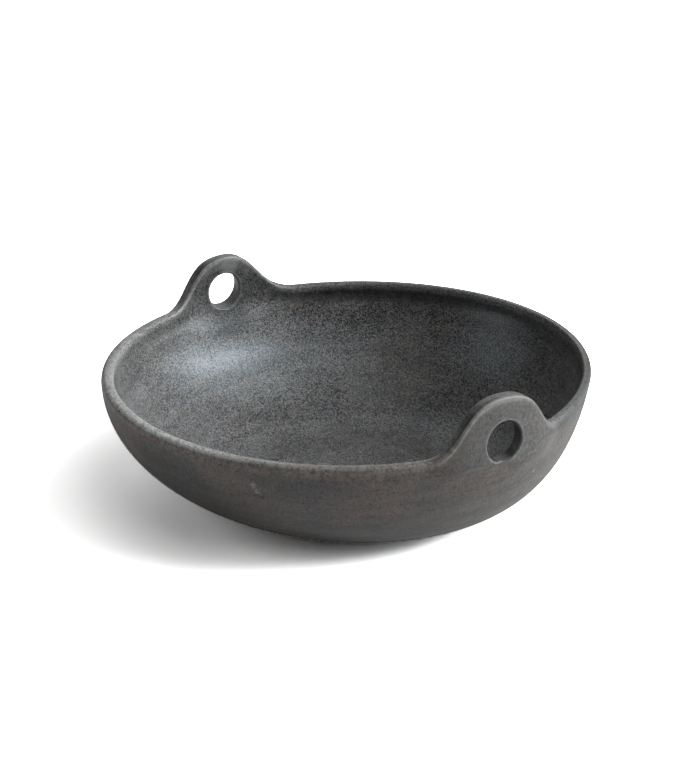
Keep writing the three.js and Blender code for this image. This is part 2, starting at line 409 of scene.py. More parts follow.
def skinRows(angle):
    # Every row of the skin from the middle of the underside, up the outer wall, over the lip and down
    # the inner wall to the middle of the floor, with what the glaze needs to know about each point.
    n = len(angle)
    ones = np.ones(n)
    bandLow = bowl["rimHeight"] - bowl["bandDepth"]
    corner, top, plate = columnTop(angle)
    zOut = top - corner * (1 + math.sin(lean))
    zIn = top - corner * (1 - math.sin(lean))
    rows = []

    def addRow(place, inside, edge, plateHere):
        rows.append((place, inside * ones, edge * ones, plateHere * ones))

    footInner = bowl["footRadius"] - bowl["footWidth"]
    for r in (*grid["recessRows"], *(footInner + step for step in grid["footRows"])):
        z = bowl["footRecess"] * (1 - smoothShare(r - footInner, *bowl["recessEdge"]))
        addRow(np.stack(handMade(r * ones, z * ones, angle), -1), -1, 0, 0)
    lowT = tAtHeight(bandLow)
    for t in wallShares(lowT, grid["wallRows"])[::-1][:-1]:
        r, z = wallCurve(np.array(t))[0]
        x, y, height = handMade(r * ones, z * ones, angle)
        addRow(np.stack([*towardPlates(x, y, z * ones, angle, False), height], -1), 0, 0, 0)
    outerStart = len(rows)
    for k in np.linspace(0, 1, grid["bandRows"]):
        z = bandLow + (zOut - bandLow) * k
        # edge: worn arrises, plus the painted highlight along the crease
        edge = np.exp(-((zOut - z) / wearAndPaintedLight["outerReach"]) ** 2) + creaseHighlight(angle, z)
        addRow(facePlace(angle, z, False), 0, edge, plate * plateShare(z, False))
    for k, place, arris in lipSections(facePlace(angle, zOut, False), facePlace(angle, zIn, True), corner):
        arris = arris + wearAndPaintedLight["top"] * (1 - arris) * smoothShare(top - bowl["rimHeight"], *wearAndPaintedLight["topRise"])
        addRow(place, smoothShare(k, 0.25, 0.75), arris * plate + 1 - plate, plate)
    upper = wearAndPaintedLight["top"] * plate * smoothShare(top - bowl["rimHeight"], *wearAndPaintedLight["innerRise"])
    for k in np.linspace(1, 0, grid["bandRows"]):
        z = bandLow + (zIn - bandLow) * k
        edge = np.exp(-((zIn - z) / wearAndPaintedLight["innerReach"]) ** 2)
        edge += upper * smoothShare(zIn - z, *wearAndPaintedLight["innerFade"])
        addRow(facePlace(angle, z, True), 1, edge, plate * plateShare(z, True))
    startT = innerT(bandLow * ones, angle)
    for t in wallShares(lowT, grid["wallRows"])[1:]:
        r, z = innerWall(startT + (t - lowT) / (1 - lowT) * (1 - startT), angle)
        x, y, height = handMade(r, z, angle)
        addRow(np.stack([*towardPlates(x, y, z, angle, True), height], -1), 1, 0, 0)
    for r in np.linspace(bowl["footRadius"], 0.8, grid["floorRows"] + 1)[1:]:
        addRow(np.stack(handMade(r * ones, bowl["floorThickness"] * ones, angle), -1), 1, 0, 0)
    print("skin rows:", len(rows), "columns:", n)
    place, inside, edge, plate = [np.array(column) for column in zip(*rows)]
    steps = np.linalg.norm(np.diff(place, axis=0), axis=2)
    run = np.concatenate([np.zeros((1, n)), np.cumsum(steps, axis=0)])
    depth = np.concatenate([run[:outerStart] - run[outerStart], place[outerStart:, :, 2] - bandLow])
    innerEnd = outerStart + 2 * grid["bandRows"] + grid["lipRows"] - 1
    depth[innerEnd:] = run[innerEnd] - run[innerEnd:]
    run -= run[outerStart + grid["bandRows"] + grid["lipRows"] // 2]
    # glaze thinness on the lip, less the painted shade under the lip and along the lugs' tops
    thin = lipPaleAndShadeAt(angle, run) * (1 - plate) - lugTopShade(angle, run)
    return place, np.stack([inside, edge, plate, run, thin, depth], -1), outerStart, innerEnd


factNames = ("inside", "edge", "plate", "run", "thin", "depth")
angles = columnAngles()
# with the first row of the band outside, and its last inside
place, skinFacts, outerStart, innerEnd = skinRows(angles)
rowCount, columnCount = skinFacts.shape[:2]
points = [place.reshape(-1, 3)]
facts = [skinFacts.reshape(-1, len(factNames))]
pointCount = rowCount * columnCount


def addPoints(newPlace, newFacts):
    global pointCount
    first = pointCount
    points.append(newPlace.reshape(-1, 3))
    facts.append(newFacts.reshape(-1, len(factNames)))
    pointCount += newPlace.size // 3
    return np.arange(first, pointCount).reshape(newPlace.shape[:-1])


number = np.arange(pointCount).reshape(rowCount, columnCount)
nextColumn = np.roll(number, -1, axis=1)
cells = np.stack([number[:-1], nextColumn[:-1], nextColumn[1:], number[1:]], -1)
owner = np.zeros(cells.shape[:2], int)  # 0 for the body, 1 and 2 for the lugs, -1 for a cut-out
closing = {1: [], 2: []}
holeFaces = {1: [], 2: []}


def stripFaces(a, b, closed=False):  # quads between two like rows of points
    if closed:
        a = np.append(a, a[:1])
        b = np.append(b, b[:1])
    return np.stack([a[:-1], a[1:], b[1:], b[:-1]], -1)


def holeBorder(lug, inner):
    # Cuts a square out of one face round the hole. Gives the points of the square's border, and how
    # far out, along and up each lies.
    along = alongLug(lug, angles)[0] + lug["peak"]
    half = lug["holeRadius"] + lug["holeEdge"] + grid["holeMargin"]
    columns = np.where(np.abs(along - lug["hole"][0]) < half)[0]
    low, high = grid["holeRows"][0], grid["bandRows"] - grid["holeRows"][1]
    up = np.arange(low, high + 1)
    rowsUp = innerEnd - up if inner else outerStart + up
    owner[min(rowsUp):max(rowsUp), columns[0]:columns[-1]] = -1
    border = np.concatenate([
        number[rowsUp[0], columns],
        number[rowsUp[1:], columns[-1]],
        number[rowsUp[-1], columns[::-1][1:]],
        number[rowsUp[::-1][1:-1], columns[0]],
    ])
    place = points[0][border]
    return border, *toLug(place[:, 0], place[:, 1], lug["side"]), place[:, 2]


def faceOut(lug, inner):  # gives a function: how far out a face lies at a place along and a height
    guide = lug["side"] + np.linspace(-0.25, 0.25, 401)  # plan angles, over more than the hole's width
    spots = facePlace(guide, np.full_like(guide, lug["hole"][1]), inner)
    guideAlong = toLug(spots[:, 0], spots[:, 1], lug["side"])[1]

    def outAt(a, z):
        angle = np.interp(a, guideAlong, guide)
        spot = facePlace(angle, z - harmonics(angle, bowl["rimTilt"]), inner)
        return toLug(spot[..., 0], spot[..., 1], lug["side"])[0]

    return outAt


def holeFacts(lug, a, z, inner, worn):  # the facts for a ring's points
    reach = np.where(a < lug["peak"], lug["reach"][0], lug["reach"][1])
    plateHere = 1 - smoothShare(np.abs(a - lug["peak"]) / reach, lug["flat"], 1.0)
    crest = bowl["rimHeight"] + edgeRise(lug, np.array(0.0))
    ones = np.ones_like(a)
    return np.stack([
        inner * ones,
        worn * ones,
        plateHere * plateShare(z, inner),
        (z - crest) * (-1 if inner else 1),
        0 * ones,
        z - bowl["rimHeight"] + bowl["bandDepth"],
    ], -1)


def holeRings(lug, code, inner, border, turn):
    # Fills one face's square with rings up to the hole's edge and rolls over that with a quarter round.
    # Gives the last ring's points and their places.
    borderPoints, out, ahead, height = border
    driftAlong, driftUp, wider = lug["holeDrift"][int(inner)]
    holeAlong, holeHeight = lug["hole"][0] + driftAlong, lug["hole"][1] + driftUp
    radius, rounding = lug["holeRadius"] + wider, lug["holeEdge"]
    outAt = faceOut(lug, inner)
    mend = out - outAt(ahead, height)
    rings = []
    ringFacts = []
    for q in np.linspace(1, 0, grid["holeRings"])[1:]:
        ease = q ** grid["ringEase"]
        a = (holeAlong + (radius + rounding) * np.cos(turn)) * (1 - ease) + ahead * ease
        z = (holeHeight + (radius + rounding) * np.sin(turn)) * (1 - ease) + height * ease
        rings.append((outAt(a, z) + mend * ease, a, z))
        gap = np.hypot(a - holeAlong, z - holeHeight) - radius - rounding
        worn = wearAndPaintedLight["hole"] * np.exp(-(gap / wearAndPaintedLight["holeReach"]) ** 2)
        ringFacts.append(holeFacts(lug, a, z, inner, worn))
    outAtEdge = rings[-1][0]
    for bend in np.linspace(0, math.pi / 2, grid["edgeRings"] + 1)[1:]:
        reach = radius + rounding * (1 - math.sin(bend))
        a = holeAlong + reach * np.cos(turn)
        z = holeHeight + reach * np.sin(turn)
        intoClay = rounding * (1 - math.cos(bend)) * (1 if inner else -1)
        rings.append((outAtEdge + intoClay, a, z))
        worn = max(wearAndPaintedLight["hole"] * math.cos(bend), lug["borePale"] * math.sin(bend))
        ringFacts.append(holeFacts(lug, a, z, inner, worn))
    ringPlace = np.array([np.stack([*fromLug(o, a, lug["side"]), z], -1) for o, a, z in rings])
    ringNumber = addPoints(ringPlace, np.array(ringFacts))
    loops = [borderPoints, *ringNumber]
    strips = [stripFaces(a, b, True) for a, b in zip(loops[:-1], loops[1:])]
    holeFaces[code] += [strip[:, ::-1] if inner else strip for strip in strips]
    return ringNumber[-1], ringPlace[-1]


def pierceLug(lug, code):
    # Cuts a square out of both faces round the hole, and fills each with rings that roll over the
    # hole's edge and meet in the bore.
    borders = [holeBorder(lug, inner) for inner in (False, True)]
    _, _, ahead, height = borders[0]
    turn = np.arctan2(height - lug["hole"][1], ahead - lug["hole"][0])
    outerRing, outerEdge = holeRings(lug, code, False, borders[0], turn)
    innerRing, innerEdge = holeRings(lug, code, True, borders[1], turn)
    shares = np.linspace(0, 1, grid["boreRings"] + 2)[1:-1, None, None]
    ones = np.ones((len(shares), len(turn), 1))
    farDown = 20 * ones  # further from the crest than its glaze reaches
    boreFacts = np.concatenate([
        shares * ones,
        lug["borePale"] * ones,
        ones,
        (2 * shares - 1) * farDown,
        -lug["boreDark"] * ones,
        farDown,
    ], -1)
    boreNumber = addPoints(outerEdge + (innerEdge - outerEdge) * shares, boreFacts)
    loops = [outerRing, *boreNumber, innerRing]
    holeFaces[code] += [stripFaces(a, b, True) for a, b in zip(loops[:-1], loops[1:])]


def claimLug(lug, code):
    # The lug's own piece is the skin over the top of the wall between the ends of its flares. A strip
    # through the clay closes it below and at its ends, and the body is closed by the same strip.
    columns = np.where(alongLug(lug, angles)[1] < 1)[0]
    first, last = columns[0] - 1, columns[-1] + 1
    low, high = outerStart + 1, innerEnd - 1
    owner[low:high, first:last] = code
    closing[code].append(stripFaces(number[low, first:last + 1], number[high, first:last + 1]))
    half = (high - low) // 2
    for column, flip in ((first, False), (last, True)):
        outerSide = number[low:low + half + 1, column]
        innerSide = number[high - half:high + 1, column][::-1]
        strip = stripFaces(outerSide, innerSide)
        closing[code].append(strip[:, ::-1] if flip else strip)


for code, lug in enumerate(lugs, 1):
    claimLug(lug, code)
    pierceLug(lug, code)

poles = addPoints(
    np.array([handMade(0.0, bowl["footRecess"], 0.0), handMade(0.0, bowl["floorThickness"], 0.0)]),
    skinFacts[[0, -1], 0] * (1, 0, 0, 1, 0, 1),
)
points = (np.concatenate(points) + mouthCentre) * 0.001
facts = np.concatenate(facts)


def wholeNormals(skinFaces):
    # Normal of each point over the whole skin, so that the shading runs on across the pieces' borders.
    corners = points[skinFaces]
    across = np.cross(corners[:, 2] - corners[:, 0], corners[:, 3] - corners[:, 1])
    total = np.zeros_like(points)
    for k in range(4):
        np.add.at(total, skinFaces[:, k], across)
    return total / np.maximum(np.linalg.norm(total, axis=1, keepdims=True), 1e-12)


everyFace = np.concatenate([cells[owner >= 0], *holeFaces[1], *holeFaces[2]])
pointNormals = wholeNormals(everyFace)
pointNormals[poles] = ((0, 0, -1), (0, 0, 1))


def makePiece(name, quads, hidden, fans, nodes, materials, materialIndex=None):
    # quads are the skin, fans the triangles round the poles and hidden the strips inside the clay
    parts = (quads, fans, hidden)
    faces = [face for part in parts for face in part.tolist()]
    used, renamed = np.unique(np.concatenate([part.ravel() for part in parts]), return_inverse=True)
    splits = np.cumsum([len(f) for f in faces])[:-1]
    mesh = bpy.data.meshes.new(name)
    mesh.from_pydata(points[used].tolist(), [], [f.tolist() for f in np.split(renamed, splits)])
    mesh.polygons.foreach_set("use_smooth", np.ones(len(faces), bool))
    for k, fact in enumerate(factNames):
        layer = mesh.attributes.new(fact, "FLOAT", "POINT")
        layer.data.foreach_set("value", facts[used, k].astype(np.float32))
    for material in materials:
        mesh.materials.append(material)
    if materialIndex is not None:
        mesh.polygons.foreach_set("material_index", materialIndex)
    mesh.update()
    mesh.normals_split_custom_set_from_vertices(pointNormals[used].tolist())
    piece = bpy.data.objects.new(name, mesh)
    bpy.context.scene.collection.objects.link(piece)
    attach(piece, "root")
    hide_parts(*nodes)
    print(name, "faces:", len(faces))


# Glaze

def linear(red, green, blue):  # a colour as a screen shows it, from 0 to 255, as the shader wants it
    share = [c / 255 for c in (red, green, blue)]
    return (*[c / 12.92 if c <= 0.04045 else ((c + 0.055) / 1.055) ** 2.4 for c in share], 1.0)


class Recipe:  # a material's node tree, built up in reading order

    def __init__(self, name):
        self.material = bpy.data.materials.new(name)
        self.material.use_nodes = True
        self.tree = self.material.node_tree
        self.tree.nodes.clear()

    def add(self, kind, inputs=None, **settings):
        node = self.tree.nodes.new(kind)
        for key, value in settings.items():
            setattr(node, key, value)
        for key, value in (inputs or {}).items():
            self.feed(node.inputs[key], value)
        return node

    def feed(self, socket, value):
        if isinstance(value, bpy.types.NodeSocket):
            self.tree.links.new(value, socket)
        else:
            socket.default_value = value

    def math(self, operation, a, b=0.0, clamp=False):
        return self.add("ShaderNodeMath", {0: a, 1: b}, operation=operation, use_clamp=clamp).outputs[0]

    def attribute(self, name):
        return self.add("ShaderNodeAttribute", attribute_name=name).outputs["Fac"]

    def noise(self, where, scale, detail, roughness):
        wanted = {"Vector": where, "Scale": scale, "Detail": detail, "Roughness": roughness}
        return self.add("ShaderNodeTexNoise", wanted).outputs["Fac"]

    def vector(self, operation, a, b=(0, 0, 0)):
        return self.add("ShaderNodeVectorMath", {0: a, 1: b}, operation=operation).outputs[0]

    def warp(self, where, scale, reach):  # the place pushed about by up to half of reach
        noise = self.add("ShaderNodeTexNoise", {"Vector": where, "Scale": scale, "Detail": 1.0})
        push = self.vector("SUBTRACT", noise.outputs["Color"], (0.5, 0.5, 0.5))
        return self.vector("ADD", where, self.vector("MULTIPLY", push, (reach, reach, reach)))

    def grains(self, where, scale):  # three random numbers for each grain of the given fineness
        cell = self.add("ShaderNodeTexVoronoi", {"Vector": where, "Scale": scale}, feature="F1")
        return self.add("ShaderNodeSeparateColor", {0: cell.outputs["Color"]}).outputs[:3]

    def scaled(self, colour, share):
        return self.add("ShaderNodeVectorMath", {0: colour, "Scale": share}, operation="SCALE").outputs[0]

    def dots(self, where, share, scale, small, large):
        # Dots of mixed sizes in a share of the cells, each size in cell widths
        cell = self.add("ShaderNodeTexVoronoi", {"Vector": where, "Scale": scale}, feature="F1")
        chance, size, _ = self.add("ShaderNodeSeparateColor", {0: cell.outputs["Color"]}).outputs
        radius = self.step(size, 0.0, 1.0, small, large)
        near = self.step(self.math("DIVIDE", cell.outputs["Distance"], radius), 0.5, 1.0, 1.0, 0.0)
        return self.math("MULTIPLY", near, self.math("LESS_THAN", chance, share))

    def step(self, value, low, high, toLow=0.0, toHigh=1.0):
        wanted = {"Value": value, "From Min": low, "From Max": high, "To Min": toLow, "To Max": toHigh}
        return self.add("ShaderNodeMapRange", wanted, interpolation_type="SMOOTHSTEP").outputs["Result"]

    def blend(self, share, a, b, way="MIX"):
        node = self.add("ShaderNodeMix", data_type="RGBA", blend_type=way)
        self.feed(node.inputs[0], share)
        self.feed(node.inputs[6], a)
        self.feed(node.inputs[7], b)
        return node.outputs[2]


marks = {
    # name: place in the part's frame and reach, in mm, how far it shows, and its colour in glaze
    "scuffTop": ((81.5, -127.9, 64.5), 2.8, 0.5, "worn"),
    "scuffMiddle": ((82.9, -126.2, 60.5), 2.6, 0.4, "worn"),
    "scuffLow": ((86.5, -122.0, 54.5), 2.4, 0.4, "worn"),
    "scuffEnd": ((90.5, -118.0, 49.5), 2.4, 0.3, "worn"),
    # painted sheen on the far lug's inner face, above its hole
    "farLugSheen": ((-139.8, 4.0, 103.0), 10.0, 0.5, "worn"),
    # painted shade on the inner wall under the far lug's hole
    "shadeUnderFarHole": ((-137.0, 2.0, 69.0), 19.0, 0.4, "pit"),
    # painted light low on the inner wall
    "litPatchInside": ((-78.0, 90.0, 30.0), 42.0, 0.18, "worn"),
    # painted shade low on the inner wall, seen through the right lug's hole
    "shadeLowInside": ((26.0, 103.0, 18.0), 21.0, 0.22, "pit"),
    "scuffPit": ((83.9, -123.4, 57.2), 1.5, 0.8, "pit"),
    "flankChip": ((132.7, 35.6, 52.7), 2.0, 0.8, "worn"),
    "wallPit": ((-117.5, -63.1, 57.9), 1.1, 0.8, "pit"),
    "smudgeHigh": ((-12.7, -151.6, 60.7), 7.0, 0.35, "outerPaleAndLit"),
    "smudgeLow": ((7.0, -143.1, 44.0), 8.0, 0.35, "outerPaleAndLit"),
}

glaze = {
    "inner": linear(102, 103, 103),
    "innerBrown": linear(96, 87, 79),  # where it lies thin along the turning marks
    "outer": linear(87, 80, 76),
    "outerCool": linear(74, 73, 72),
    # pale smudges, and the painted light on the lit flank
    "outerPaleAndLit": linear(102, 99, 95),
    "plate": linear(73, 73, 72),
    # painted light on the plate of the lit flank
    "plateLit": linear(110, 110, 108),
    "lip": linear(102, 95, 89),
    "lipBrown": linear(84, 72, 63),
    # painted sheen: cooler grey of the outer lip on the lit flank
    "lipLitSide": linear(80, 85, 87),
    "lipPale": linear(186, 188, 186),
    # dark of pooled glaze, also the painted shade under the lip and along the lugs' tops
    "thickAndShade": linear(30, 28, 28),
    "freckle": linear(44, 38, 34),
    # pale wear, also the painted light of the crease, the far lug's sheen and the lit patch inside
    "worn": linear(148, 148, 145),
    # dark of the pits, also the colour of the painted shade marks
    "pit": linear(22, 19, 17),
    "fleck": linear(140, 122, 104),
    "warmTint": (1.34, 0.98, 0.76, 1),  # what the warmest and the coolest grains multiply by
    "coolTint": (0.80, 1.02, 1.16, 1),
    "gloss": 0.27,  # roughness where the glaze lies thick
    "satin": 0.36,  # and on the outside
    "dry": 0.60,  # and where it is worn
}

pattern = {
    # scale, detail and roughness of each noise; a scale of 1000 gives patches about a millimetre wide
    "clouds": (17, 3, 0.55),
    "rings": (18, 4, 0.6),
    "strokes": (60, 3, 0.65),
    "drips": (75, 2, 0.6),
    "blots": (260, 3, 0.65),
    "speck": (620, 3, 0.7),
    "fine": (1500, 1, 0.5),
    "patches": (480, 2, 0.6),
    "peel": (240, 2, 0.5),
    "crowds": (40, 2, 0.5),
    "ringRate": 0.007,  # metres of noise per millimetre down the wall: across the turning marks
    "dripRate": 0.0002,  # and along the drips
    # scale and reach in metres of the pushes that break up cells and round marks
    "loose": (1500, 0.0008),
    "looser": (900, 0.001),
    "astray": (160, 0.005),
    "flankBeside": (-0.045, 0.035),  # metres over which the painted light of the lit flank comes in, towards +Y
    "flankAhead": (0.05, 0.12),  # and towards +X
    "lipMiddle": -4.5,  # middle of the outside of the lip, in mm from its crest
    "lipReach": (3.0, 7.5),
    "calmPlate": 0.30,  # share of the texture that is left on the plates' outer faces
    "grains": 1900,
    "grainShare": (0.16, 1.0),  # outside and inside
    "grain": 2.4,
    "mottleShare": (1.15, 0.3),
    "mottle": 1.9,
    # scale of the dots' cells, and their smallest and largest size in cell widths
    "pits": (760, 0.25, 0.62),
    "largePits": (380, 0.14, 0.34),
    "freckles": (520, 0.15, 0.5),
    "flecks": (950, 0.2, 0.45),
    "freckled": 0.32,  # share of the cells on the lip that have a freckle
    "flecked": 0.07,
}


def wallPlace(m, g, rate):  # the place, with its height swapped for the way down the wall at a rate
    down = m.add("ShaderNodeCombineXYZ", {"Z": m.math("MULTIPLY", g.depth, rate)}).outputs[0]
    return m.vector("ADD", m.vector("MULTIPLY", g.where, (1, 1, 0)), down)


def glazeFacts(m):  # what every part of the glaze's recipe shares: the skin's facts and the noises
    g = SimpleNamespace(where=m.add("ShaderNodeTexCoord").outputs["Object"])
    for name in factNames:
        setattr(g, name, m.attribute(name))
    g.indoors = m.step(g.inside, 0.0, 1.0)
    plateHere = m.math("MULTIPLY", g.plate, m.step(g.inside, 0.0, 1.0, 1.0, 0.35))
    g.calm = m.step(plateHere, 0.0, 1.0, 1.0, pattern["calmPlate"])
    ahead, beside, _ = m.add("ShaderNodeSeparateXYZ", {0: g.where}).outputs
    ahead = m.step(ahead, *pattern["flankAhead"])
    g.flank = m.math("MULTIPLY", m.step(beside, *pattern["flankBeside"]), ahead)
    fromMiddle = m.math("ABSOLUTE", m.math("SUBTRACT", g.run, pattern["lipMiddle"]))
    offPlate = m.math("SUBTRACT", 1.0, g.plate)
    g.outerLip = m.math("MULTIPLY", m.step(fromMiddle, *pattern["lipReach"], 1.0, 0.0), offPlate)
    for name in ("clouds", "blots", "speck", "fine"):
        setattr(g, name, m.noise(g.where, *pattern[name]))
    along = wallPlace(m, g, pattern["ringRate"])
    g.rings = m.noise(along, *pattern["rings"])
    g.strokes = m.noise(along, *pattern["strokes"])
    g.drips = m.noise(wallPlace(m, g, pattern["dripRate"]), *pattern["drips"])
    g.loose = m.warp(g.where, *pattern["loose"])
    g.uneven = m.math("ABSOLUTE", g.thin)  # how far the glaze is from its usual thickness, with the painted shade counted in
    return g


def sideTone(m, g):  # tone by side, streaked inside and clouded outside, and paler with painted light on the lit flank
    innerTone = m.blend(m.step(g.strokes, 0.52, 0.68, 0.0, 0.5), glaze["inner"], glaze["innerBrown"])
    outerTone = m.blend(m.step(g.clouds, 0.42, 0.60), glaze["outer"], glaze["outerCool"])
    litPale = m.blend(g.plate, glaze["outerPaleAndLit"], glaze["plateLit"])
    onPlate = m.math("MULTIPLY", g.plate, 0.85)
    outerTone = m.blend(onPlate, outerTone, glaze["plate"])
    onLitFlank = m.math("MULTIPLY", g.flank, m.step(g.blots, 0.3, 0.7, 0.75, 1.0))
    outerTone = m.blend(onLitFlank, outerTone, litPale)
    innerTone = m.blend(onPlate, innerTone, glaze["plate"])
    return m.blend(g.indoors, outerTone, innerTone)


def lipTone(m, g, tone):
    # The lip: mottled outside, pale where the glaze is thin, dark where it has pooled, and dark with painted
    # shade under the lip and along the lugs' tops
    mottled = m.math("MULTIPLY", g.outerLip, m.step(g.blots, 0.35, 0.6, 0.2, 1.0))
    tone = m.blend(mottled, tone, glaze["lip"])
    brown = m.math("MULTIPLY", g.outerLip, m.step(g.strokes, 0.48, 0.60, 0.0, 0.8))
    tone = m.blend(brown, tone, glaze["lipBrown"])
    # painted sheen on the lit flank's outer lip
    litLipShare = m.math("MULTIPLY", m.math("MULTIPLY", g.outerLip, g.flank), 0.9)
    tone = m.blend(litLipShare, tone, glaze["lipLitSide"])
    ragged = m.math("ADD", g.thin, m.math("MULTIPLY", m.math("SUBTRACT", g.blots, 0.5), g.uneven))
    tone = m.blend(m.math("MULTIPLY", ragged, 1.0, clamp=True), tone, glaze["lipPale"])
    return m.blend(m.math("MULTIPLY", ragged, -1.0, clamp=True), tone, glaze["thickAndShade"])


def grainTone(m, g, tone):
    # Tone times 1 plus clouds, grains and mottling, and times a warm or cool tint for each grain.
    # Grains are sharp inside. Outside and on the plates they are soft and low.
    light, warmth, _ = m.grains(g.loose, pattern["grains"])
    shade = m.math("ADD", m.step(g.rings, 0.35, 0.65, -0.17, 0.16), m.step(g.blots, 0.3, 0.7, -0.07, 0.07))
    shade = m.math("ADD", shade, m.step(g.drips, 0.3, 0.7, -0.04, 0.05))
    grainShare = m.math("MULTIPLY", g.calm, m.step(g.inside, 0.0, 1.0, *pattern["grainShare"]))
    grainShare = m.math("MULTIPLY", grainShare, m.step(g.uneven, 0.0, 0.7, 1.0, 0.35))
    mottleShare = m.step(g.inside, 0.0, 1.0, *pattern["mottleShare"])
    grain = m.math("MULTIPLY", grainShare, pattern["grain"])
    grain = m.math("MULTIPLY", m.math("SUBTRACT", light, 0.5), grain)
    mottle = m.math("MULTIPLY", mottleShare, pattern["mottle"])
    mottle = m.math("MULTIPLY", m.math("SUBTRACT", g.speck, 0.5), mottle)
    shade = m.math("ADD", m.math("MULTIPLY", shade, g.calm), m.math("ADD", grain, mottle))
    tone = m.scaled(tone, m.math("MAXIMUM", m.math("ADD", shade, 1.0), 0.08))
    patches = m.math("SUBTRACT", m.noise(g.where, *pattern["patches"]), 0.5)
    patches = m.math("MULTIPLY", m.math("MULTIPLY", patches, mottleShare), 1.6)
    warmer = m.math("MULTIPLY", m.math("SUBTRACT", warmth, 0.5), m.math("MULTIPLY", grainShare, 1.4))
    warmer = m.math("ADD", warmer, patches)
    tint = m.blend(m.math("MULTIPLY", warmer, 1.0, clamp=True), (1, 1, 1, 1), glaze["warmTint"])
    tint = m.blend(m.math("MULTIPLY", warmer, -1.0, clamp=True), tint, glaze["coolTint"])
    return m.blend(1.0, tone, tint, "MULTIPLY")


def dottedTone(m, g, tone):  # pits in crowds, freckles on the lip and pale flecks
    crowd = m.step(m.noise(g.where, *pattern["crowds"]), 0.45, 0.60, 0.12, 0.95)
    crowd = m.math("MULTIPLY", crowd, m.step(g.inside, 0.0, 1.0, 0.10, 1.0))
    crowd = m.math("MULTIPLY", m.math("ADD", crowd, m.math("MULTIPLY", g.outerLip, 0.10)), g.calm)
    smallPits = m.dots(g.loose, crowd, *pattern["pits"])
    largePits = m.dots(g.loose, m.math("MULTIPLY", crowd, 0.3), *pattern["largePits"])
    g.pit = m.math("MAXIMUM", smallPits, largePits)
    tone = m.blend(m.math("MULTIPLY", g.pit, 0.85), tone, glaze["pit"])
    freckled = m.math("MULTIPLY", g.outerLip, pattern["freckled"])
    freckles = m.dots(g.loose, freckled, *pattern["freckles"])
    tone = m.blend(m.math("MULTIPLY", freckles, 0.7), tone, glaze["freckle"])
    flecked = m.math("MULTIPLY", g.calm, pattern["flecked"])
    flecks = m.dots(m.warp(g.where, *pattern["looser"]), flecked, *pattern["flecks"])
    g.fleck = m.math("MULTIPLY", flecks, 0.5)
    return m.blend(m.math("MULTIPLY", g.fleck, m.step(g.inside, 0.0, 1.0, 0.8, 1.0)), tone, glaze["fleck"])


def wornTone(m, g, tone):  # pale on the worn arrises and with the painted highlight of the crease, and each mark in its place, painted light and shade among them
    g.worn = m.math("MULTIPLY", g.edge, m.step(g.blots, 0.36, 0.6, 0.5, 1.0))
    g.worn = m.math("MULTIPLY", g.worn, m.step(g.plate, 0.0, 0.6, 0.25, 1.0))
    tone = m.blend(m.math("MULTIPLY", g.worn, 0.8, clamp=True), tone, glaze["worn"])
    astray = m.warp(g.where, *pattern["astray"])
    for place, reach, shows, kind in marks.values():
        middle = tuple(v * 0.001 for v in place)
        away = m.add("ShaderNodeVectorMath", {0: astray, 1: middle}, operation="DISTANCE")
        share = m.step(away.outputs["Value"], 0.0004 * reach, 0.001 * reach, shows, 0.0)
        tone = m.blend(share, tone, glaze[kind])
    return tone


def glazeHeight(m, g):  # orange peel, turning marks and flecks, minus the pits
    grit = m.math("MULTIPLY", m.step(g.inside, 0.0, 1.0, 0.1, 0.25), g.calm)
    height = m.math("MULTIPLY", m.math("ADD", g.fine, g.speck), grit)
    height = m.math("ADD", height, m.math("MULTIPLY", m.noise(g.where, *pattern["peel"]), 0.5))
    height = m.math("ADD", height, m.math("MULTIPLY", g.rings, 0.8))
    height = m.math("SUBTRACT", height, m.math("MULTIPLY", g.pit, 0.15))
    return m.math("ADD", height, g.fleck)


def glazeRoughness(m, g):  # satin outside and glossier inside, duller by clouds, and dry where worn
    rough = m.step(g.inside, 0.0, 1.0, glaze["satin"], glaze["gloss"])
    rough = m.math("ADD", rough, m.step(g.clouds, 0.3, 0.7, 0.0, 0.05))
    rough = m.math("ADD", rough, m.math("MULTIPLY", g.plate, 0.06))
    rough = m.math("SUBTRACT", rough, m.math("MULTIPLY", g.fleck, 0.25))
    dry = m.math("MULTIPLY", m.math("MAXIMUM", g.uneven, g.worn), glaze["dry"])
    return m.math("MAXIMUM", rough, dry)


def glazeMaterial():
    # Colour: tone by side, times grains, with dark pits in crowds, mottled and freckled along the lip,
    # and pale where the arrises are worn. Height: orange peel and turning marks, minus the pits.
    m = Recipe("charcoalGlaze")
    g = glazeFacts(m)
    tone = lipTone(m, g, sideTone(m, g))
    tone = dottedTone(m, g, grainTone(m, g, tone))
    tone = wornTone(m, g, tone)
    bump = m.add("ShaderNodeBump", {"Height": glazeHeight(m, g), "Strength": 0.5, "Distance": 0.0005})
    shader = m.add("ShaderNodeBsdfPrincipled", {
        "Base Color": tone,
        "Roughness": glazeRoughness(m, g),
        "Normal": bump.outputs["Normal"],
        "Specular IOR Level": 0.55,
        "Specular Tint": m.blend(g.indoors, (0.98, 0.97, 1.0, 1), (0.80, 0.92, 1.0, 1)),
    })
    m.add("ShaderNodeOutputMaterial", {"Surface": shader.outputs[0]})
    return m.material


